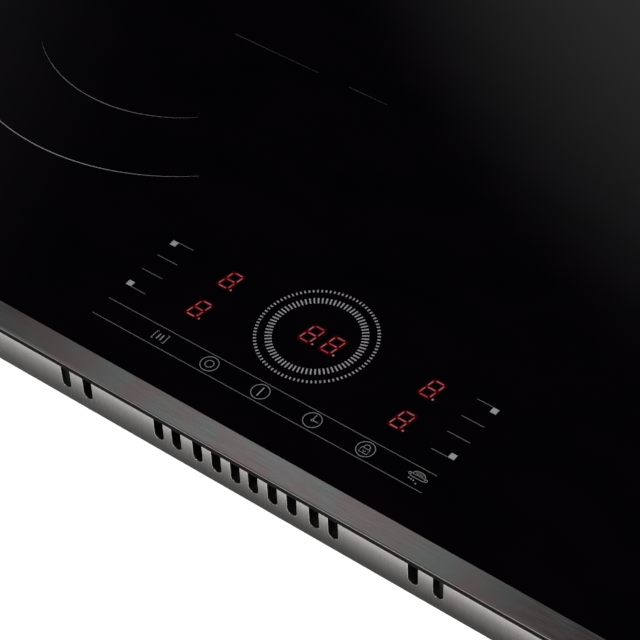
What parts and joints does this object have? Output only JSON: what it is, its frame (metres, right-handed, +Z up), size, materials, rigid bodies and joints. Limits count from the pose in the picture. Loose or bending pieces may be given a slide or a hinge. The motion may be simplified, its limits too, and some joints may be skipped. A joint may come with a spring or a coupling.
{
  "type": "induction cooktop",
  "caption": "Built-in electric induction cooktop: black glass top in a bevelled steel frame, touch controls with a ring slider, and a slotted steel chassis.",
  "frame": {"origin": "centre of the underside of the chassis, in the middle of the outside box", "axes": "+X to the user's right along the front edge, -Y towards the user, +Z up"},
  "size_m": [0.59, 0.52, 0.0504],
  "materials": {
    "glass": "polished black glass ceramic",
    "frame_steel": "brushed stainless steel",
    "chassis_steel": "matt zinc-coated sheet steel",
    "gasket_foam": "black closed-cell foam",
    "aluminium": "plain mill finish",
    "spring_steel": "bright spring steel",
    "copper_litz": "lacquered copper wire",
    "ferrite": "dark grey sintered ferrite",
    "mica": "pressed mica sheet",
    "black_plastic": "fine textured black plastic",
    "white_plastic": "heat-resistant off-white plastic",
    "circuit_board": "green solder resist",
    "display": "dark red window over lit segments"
  },
  "bodies": {
    "cabinet": {"cable_gland": "black_plastic", "chassis_pan": "chassis_steel", "coil_tray": "aluminium", "control_board": "circuit_board", "control_bracket": "black_plastic", "filter_board": "circuit_board", "filter_choke": "ferrite", "front_left_coil_spring": "spring_steel", "front_left_display": "display", "front_right_coil_spring": "spring_steel", "front_right_display": "display", "front_trim": "frame_steel", "glass_top": "glass", "key_light_strip": "white_plastic", "left_fan_housing": "black_plastic", "left_heat_sink": "aluminium", "left_power_board": "circuit_board", "left_trim": "frame_steel", "rear_left_coil_spring": "spring_steel", "rear_left_display": "display", "rear_right_coil_spring": "spring_steel", "rear_right_display": "display", "rear_trim": "frame_steel", "right_fan_housing": "black_plastic", "right_heat_sink": "aluminium", "right_power_board": "circuit_board", "right_trim": "frame_steel", "slider_ring": "black_plastic", "terminal_block": "white_plastic", "terminal_cover": "black_plastic", "timer_display": "display", "worktop_gasket": "gasket_foam"},
    "front_left_coil": {"front_left_coil_ferrite_star": "ferrite", "front_left_coil_former": "white_plastic", "front_left_coil_mica_disc": "mica", "front_left_coil_sensor": "black_plastic", "front_left_coil_winding_inner": "copper_litz", "front_left_coil_winding_outer": "copper_litz"},
    "rear_left_coil": {"rear_left_coil_ferrite_star": "ferrite", "rear_left_coil_former": "white_plastic", "rear_left_coil_mica_disc": "mica", "rear_left_coil_sensor": "black_plastic", "rear_left_coil_winding": "copper_litz"},
    "rear_right_coil": {"rear_right_coil_ferrite_star": "ferrite", "rear_right_coil_former": "white_plastic", "rear_right_coil_mica_disc": "mica", "rear_right_coil_sensor": "black_plastic", "rear_right_coil_winding": "copper_litz"},
    "front_right_coil": {"front_right_coil_ferrite_star": "ferrite", "front_right_coil_former": "white_plastic", "front_right_coil_mica_disc": "mica", "front_right_coil_sensor": "black_plastic", "front_right_coil_winding": "copper_litz"},
    "front_left_clip_leaf": {"front_left_clip": "spring_steel"},
    "front_right_clip_leaf": {"front_right_clip": "spring_steel"},
    "left_fan_rotor": {"left_fan_impeller": "black_plastic"},
    "rear_left_clip_leaf": {"rear_left_clip": "spring_steel"},
    "rear_right_clip_leaf": {"rear_right_clip": "spring_steel"},
    "right_fan_rotor": {"right_fan_impeller": "black_plastic"}
  },
  "joints": [
    {"name": "front_left_coil_float", "type": "slide", "parent": "cabinet", "child": "front_left_coil", "axis": [0, 0, -1], "range_m": [0, 0.002], "stiffness_N_per_m": 4000, "springref_m": -0.005, "deforming": ["front_left_coil_spring"]},
    {"name": "rear_left_coil_float", "type": "slide", "parent": "cabinet", "child": "rear_left_coil", "axis": [0, 0, -1], "range_m": [0, 0.002], "stiffness_N_per_m": 4000, "springref_m": -0.005, "deforming": ["rear_left_coil_spring"]},
    {"name": "rear_right_coil_float", "type": "slide", "parent": "cabinet", "child": "rear_right_coil", "axis": [0, 0, -1], "range_m": [0, 0.002], "stiffness_N_per_m": 4000, "springref_m": -0.005, "deforming": ["rear_right_coil_spring"]},
    {"name": "front_right_coil_float", "type": "slide", "parent": "cabinet", "child": "front_right_coil", "axis": [0, 0, -1], "range_m": [0, 0.002], "stiffness_N_per_m": 4000, "springref_m": -0.005, "deforming": ["front_right_coil_spring"]},
    {"name": "left_fan_spin", "type": "hinge", "parent": "cabinet", "child": "left_fan_rotor", "pos_m": [-0.176, 0.195, 0.011], "axis": [0, 0, 1], "continuous": true},
    {"name": "right_fan_spin", "type": "hinge", "parent": "cabinet", "child": "right_fan_rotor", "pos_m": [0.176, 0.195, 0.011], "axis": [0, 0, 1], "continuous": true},
    {"name": "front_left_clip_flex", "type": "hinge", "parent": "cabinet", "child": "front_left_clip_leaf", "pos_m": [-0.27815, -0.15, 0.0103], "axis": [0, 1, 0], "range_deg": [0, 6], "stiffness_Nm_per_rad": 0.4},
    {"name": "front_right_clip_flex", "type": "hinge", "parent": "cabinet", "child": "front_right_clip_leaf", "pos_m": [0.27815, -0.15, 0.0103], "axis": [0, -1, 0], "range_deg": [0, 6], "stiffness_Nm_per_rad": 0.4},
    {"name": "rear_left_clip_flex", "type": "hinge", "parent": "cabinet", "child": "rear_left_clip_leaf", "pos_m": [-0.27815, 0.15, 0.0103], "axis": [0, 1, 0], "range_deg": [0, 6], "stiffness_Nm_per_rad": 0.4},
    {"name": "rear_right_clip_flex", "type": "hinge", "parent": "cabinet", "child": "rear_right_clip_leaf", "pos_m": [0.27815, 0.15, 0.0103], "axis": [0, -1, 0], "range_deg": [0, 6], "stiffness_Nm_per_rad": 0.4}
  ]
}
